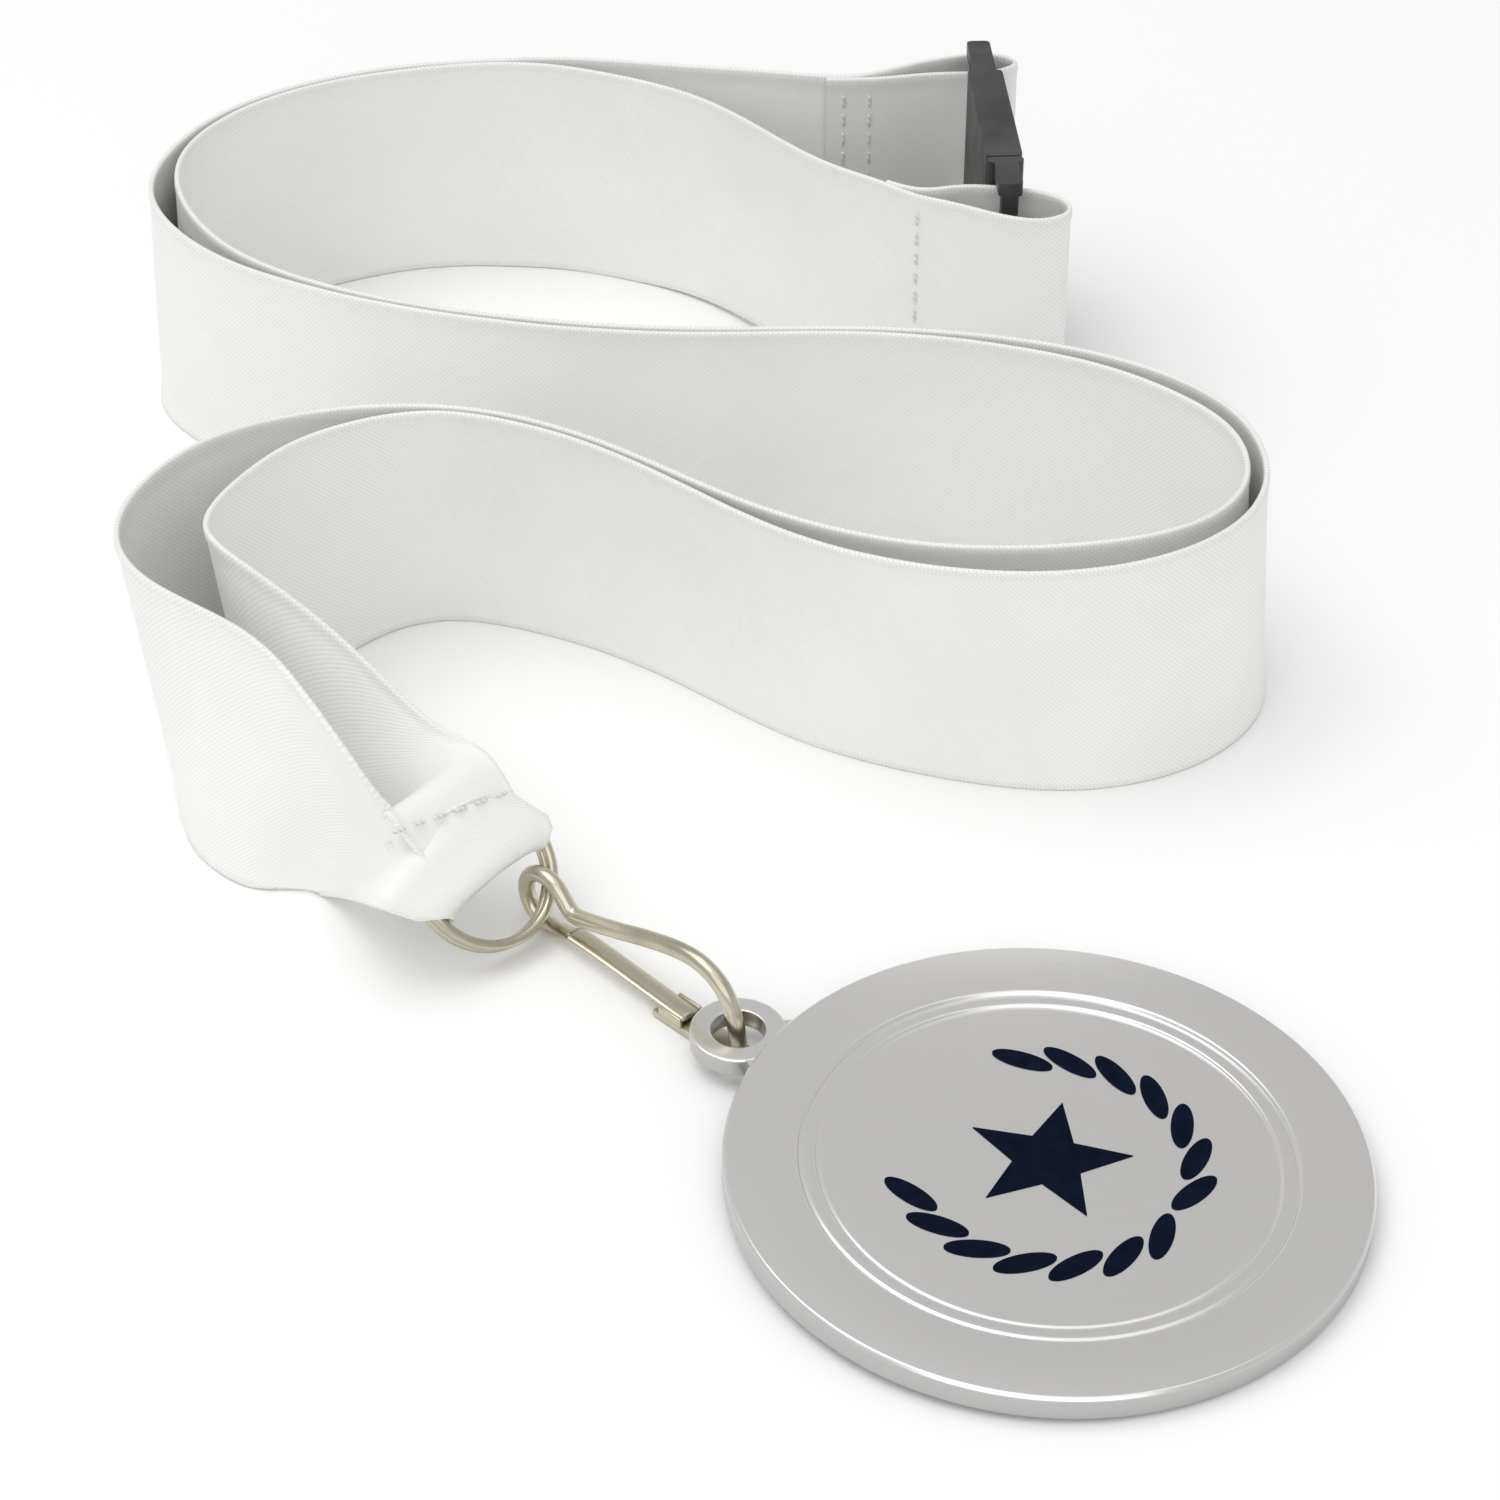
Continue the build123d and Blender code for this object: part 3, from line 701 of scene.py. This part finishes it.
# (forward, up) points of the wire: its free end, the eye round the ring, the kink, the arm and the bend
hook_points = [(3.5, 1.7), (2.4, 1.35)]
for step in range(7):
    angle = radians(-75 - 235 * step / 6)
    hook_points.append((EYE_RADIUS * cos(angle), EYE_HEIGHT + EYE_RADIUS * sin(angle)))
hook_points += [(3.35, 3.75), (4.6, 3.9), (10.5, 5.75), (15.6, 7.25), (19.2, 7.35), (21.5, 5.9), (22.5, 3.6)]
hook_points += [(hook_length + 0.05, 1.6), (hook_length + 0.05, 0.75)]
hook_line = smooth_line([on_hook(a, b) for a, b in hook_points], HOOK_STEP)
# the free end of the wire is pressed flat
flat = np.clip(1 - np.arange(len(hook_line)) * HOOK_STEP / FLAT_LENGTH, 0, 1)
hook_radii = [(HOOK_WIRE + 0.2 * f, HOOK_WIRE - 0.33 * f) for f in flat]
hook_wire = tube("snap_hook_wire", hook_line, hook_radii, hook_side, nickel)
keeper_start = hook_length + HOOK_WIRE - KEEPER_LENGTH


def channel(name, start, end, half_width, floor, flanges, material):
    """A strip along the hook with two folded-up flanges.

    floor is the (low, high) of the strip, and flanges the (start, end, height) of the flanges, with their
    places counted from the start of the strip.
    """
    made = bmesh.new()

    def block(a, b, side_low, side_high, low, high):
        cube = bmesh.ops.create_cube(made, size=1.0)["verts"]
        for vertex in cube:
            x, y, z = vertex.co + Vector((0.5, 0.5, 0.5))
            place = on_hook(a + (b - a) * x, low + (high - low) * z, side_low + (side_high - side_low) * y)
            vertex.co = Vector(place)

    block(start, end, -half_width, half_width, *floor)
    for side in (-1, 1):
        inner_side = side * (half_width - FLANGE_THICKNESS)
        outer_side = side * half_width
        low_side, high_side = sorted((inner_side, outer_side))
        block(start + flanges[0], start + flanges[1], low_side, high_side, floor[1] - FLANGE_OVERLAP, flanges[2])
    bmesh.ops.recalc_face_normals(made, faces=made.faces)
    vertices = [tuple(v.co) for v in made.verts]
    made.verts.index_update()
    faces = [tuple(v.index for v in face.verts) for face in made.faces]
    made.free()
    piece = make_object(name, vertices, faces, material)
    bevel = piece.modifiers.new("rounded_edges", "BEVEL")
    bevel.width = KEEPER_EDGE * MM
    bevel.segments = 3
    return piece


keeper = channel(
    "keeper", keeper_start, hook_length + KEEPER_TAIL, KEEPER_HALF_WIDTH, KEEPER_FLOOR, KEEPER_FLANGES, nickel
)
bpy.context.view_layer.objects.active = keeper
bpy.ops.object.select_all(action="DESELECT")
keeper.select_set(True)
bpy.ops.object.modifier_apply(modifier="rounded_edges")
hook_piece = join_pieces([hook_wire, keeper], "snap_hook_wire")
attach(hook_piece, "hook")
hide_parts("snap_hook")

gate_points = [(3.3, 1.75), (6.0, 1.72), (11.0, 1.5), (keeper_start + 3.2, 1.2)]
gate_line = smooth_line([on_hook(a, b) for a, b in gate_points], 0.25)
gate_piece = tube("snap_gate_strip", gate_line, [GATE_HALF_SIZES] * len(gate_line), hook_side, nickel)
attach(gate_piece, "gate")
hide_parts("snap_gate")

# ---------------------------------------------------------------- medal

mount = next(m for m in record["mounts"] if m["name"] == "back_face")
medal_up = -unit(mount["axis"])
medal_base = millimetres(mount["pos_m"])
to_lug = unit(lug_hole - medal_base)
to_side = np.cross(medal_up, to_lug)
lug_distance = np.linalg.norm(lug_hole - medal_base)


def on_medal(along, side, up):
    return medal_base + to_lug * along + to_side * side + medal_up * up


def rounded_profile(points):
    """A profile whose corners (x, y, radius) are turned into short curves."""
    line = []
    for i, (x, y, radius) in enumerate(points):
        corner = np.array((x, y))
        if radius == 0 or i in (0, len(points) - 1):
            line.append(corner)
            continue
        before = np.array(points[i - 1][:2]) - corner
        after = np.array(points[i + 1][:2]) - corner
        reach = min(radius, 0.45 * np.linalg.norm(before), 0.45 * np.linalg.norm(after))
        start = corner + unit(before) * reach
        end = corner + unit(after) * reach
        for t in np.linspace(0, 1, 7):
            line.append(start * (1 - t) ** 2 + corner * 2 * t * (1 - t) + end * t**2)
    return line


def turned(name, profile, centre, closed, segments=256):
    """A body of revolution about the medal's normal, from (radius, height) points."""
    vertices = []
    for k in range(segments):
        angle = 2 * pi * k / segments
        for radius, height in profile:
            vertices.append(on_medal(centre + radius * cos(angle), radius * sin(angle), height))
    count = len(profile)
    faces = []
    for k in range(segments):
        n = (k + 1) % segments
        for j in range(count if closed else count - 1):
            m = (j + 1) % count
            faces.append((k * count + j, n * count + j, n * count + m, k * count + m))
    return make_object(name, vertices, faces, silver)


# (radius, height, corner rounding) from the middle of the back, over the rim, to the middle of the face
DISC_PROFILE = [
    (0.0, 0.0, 0), (24.7, 0.0, 0.3), (25.0, 0.3, 0.3), (25.0, 2.04, 0.1), (24.74, 2.3, 0.1),
    (19.35, 2.3, 0.12), (19.1, 1.98, 0.1), (18.85, 2.1, 0.1), (17.95, 2.1, 0.1), (17.75, 1.86, 0.1),
    (17.5, 1.95, 0.1), (0.0, 1.95, 0),
]
disc = turned("disc", rounded_profile(DISC_PROFILE), 0.0, False)
LUG_LOW = 0.3
LUG_HIGH = 1.95
LUG_HOLE_RADIUS = 2.2
LUG_RADIUS = 3.9
LUG_MIDDLE = 1.1
NECK_INSET = 0.03
lug_profile = rounded_profile([
    (LUG_HOLE_RADIUS, LUG_MIDDLE, 0),
    (LUG_HOLE_RADIUS, LUG_LOW, 0.18),
    (LUG_RADIUS, LUG_LOW, 0.25),
    (LUG_RADIUS, LUG_HIGH, 0.25),
    (LUG_HOLE_RADIUS, LUG_HIGH, 0.18),
    (LUG_HOLE_RADIUS, LUG_MIDDLE, 0),
])[:-1]
lug = turned("lug", lug_profile, lug_distance, True, 128)
neck = bmesh.new()
neck_outline = []
for side in (1, -1):
    for t in np.linspace(0, 1, 9)[::side]:
        neck_outline.append((lug_distance - 2.3 - 1.5 * t, side * (2.9 + 1.9 * t**2.2)))
top = [neck.verts.new(on_medal(a, b, LUG_HIGH - NECK_INSET)) for a, b in neck_outline]
bottom = [neck.verts.new(on_medal(a, b, LUG_LOW + NECK_INSET)) for a, b in neck_outline]
neck.faces.new(top)
neck.faces.new(bottom[::-1])
for k in range(len(top)):
    neck.faces.new((top[k], bottom[k], bottom[(k + 1) % len(top)], top[(k + 1) % len(top)]))
bmesh.ops.recalc_face_normals(neck, faces=neck.faces)
neck.verts.index_update()
neck_piece = make_object(
    "neck", [tuple(v.co) for v in neck.verts], [tuple(v.index for v in f.verts) for f in neck.faces], silver
)
neck.free()
for polygon in neck_piece.data.polygons:
    polygon.use_smooth = False
medal_piece = join_pieces([disc, lug, neck_piece], "medal_body")
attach(medal_piece, "medal")
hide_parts("medal_disc")

# ---------------------------------------------------------------- CAD nodes that stay

frame["nodes"]["medal_emblem"].data.materials.clear()
frame["nodes"]["medal_emblem"].data.materials.append(ink)
for name in ("clip_socket", "clip_plug"):
    node = frame["nodes"][name]
    node.data.materials.clear()
    node.data.materials.append(plastic)
    rounding = node.modifiers.new("moulded_edges", "BEVEL")
    rounding.width = CLIP_EDGE * MM
    rounding.segments = 3
    rounding.limit_method = "ANGLE"
    rounding.angle_limit = radians(40)

# ---------------------------------------------------------------- floor, light and camera

floor_material, floor_tree, floor_shader = new_material("pale_floor")
paper = add_node(floor_tree, "ShaderNodeTexNoise", Scale=30.0, Detail=2.0)
floor_tree.links.new(
    ramp(floor_tree, paper.outputs["Fac"], [(0.3, 0.955), (0.7, 0.965)]), floor_shader.inputs["Base Color"]
)
floor_shader.inputs["Roughness"].default_value = 0.9
floor_shader.inputs["Specular IOR Level"].default_value = 0.0
bpy.ops.mesh.primitive_plane_add(size=6.0, location=(0, 0, 0))
floor = bpy.context.object
floor.name = "floor"
floor.data.materials.append(floor_material)

world = bpy.data.worlds.new("studio")
bpy.context.scene.world = world
world.use_nodes = True
tree = world.node_tree
background = tree.nodes["Background"]
direction = tree.nodes.new("ShaderNodeTexCoord").outputs["Generated"]
heights = tree.nodes.new("ShaderNodeSeparateXYZ")
tree.links.new(direction, heights.inputs["Vector"])
sky = ramp(tree, heights.outputs["Z"], [
    (0.0, 0.60), (0.25, 0.60), (0.50, 0.58), (0.62, 0.52), (0.78, 0.50), (0.92, 1.0),
])
seen = tree.nodes.new("ShaderNodeLightPath")
choose = add_node(tree, "ShaderNodeMix", data_type="RGBA")
choose.inputs[7].default_value = (1, 1, 1, 1)
tree.links.new(seen.outputs["Is Camera Ray"], choose.inputs[0])
tree.links.new(sky, choose.inputs[6])
tree.links.new(choose.outputs[2], background.inputs["Color"])
background.inputs["Strength"].default_value = 1.07

# what the lights and the camera look at, in metres
middle = Vector((-0.0228, 0.0566, 0.0))


def softbox(name, place, size, power):
    """A rectangular area light aimed at the middle of the object, sized in metres, with its power in watts."""
    light = bpy.data.lights.new(name, "AREA")
    light.shape = "RECTANGLE"
    light.size, light.size_y = size
    light.energy = power
    lamp = bpy.data.objects.new(name, light)
    lamp.location = place
    lamp.rotation_euler = (middle - Vector(place)).to_track_quat("-Z", "Y").to_euler()
    bpy.context.scene.collection.objects.link(lamp)


softbox("key", (-0.35, 0.05, 0.75), (0.7, 0.6), 2.0)
softbox("fill", (-0.05, -0.6, 0.5), (0.9, 0.6), 1.5)

CAMERA_ELEVATION = radians(36.17)
CAMERA_DISTANCE = 0.3185
camera = bpy.data.cameras.new("camera")
camera.lens = 85
camera.sensor_width = 36
camera.clip_start = 0.01
eye = bpy.data.objects.new("camera", camera)
eye.location = middle + Vector((0, -cos(CAMERA_ELEVATION), sin(CAMERA_ELEVATION))) * CAMERA_DISTANCE
eye.rotation_euler = (middle - eye.location).to_track_quat("-Z", "Y").to_euler()
bpy.context.scene.collection.objects.link(eye)
bpy.context.scene.camera = eye
bpy.context.scene.view_settings.view_transform = "Standard"
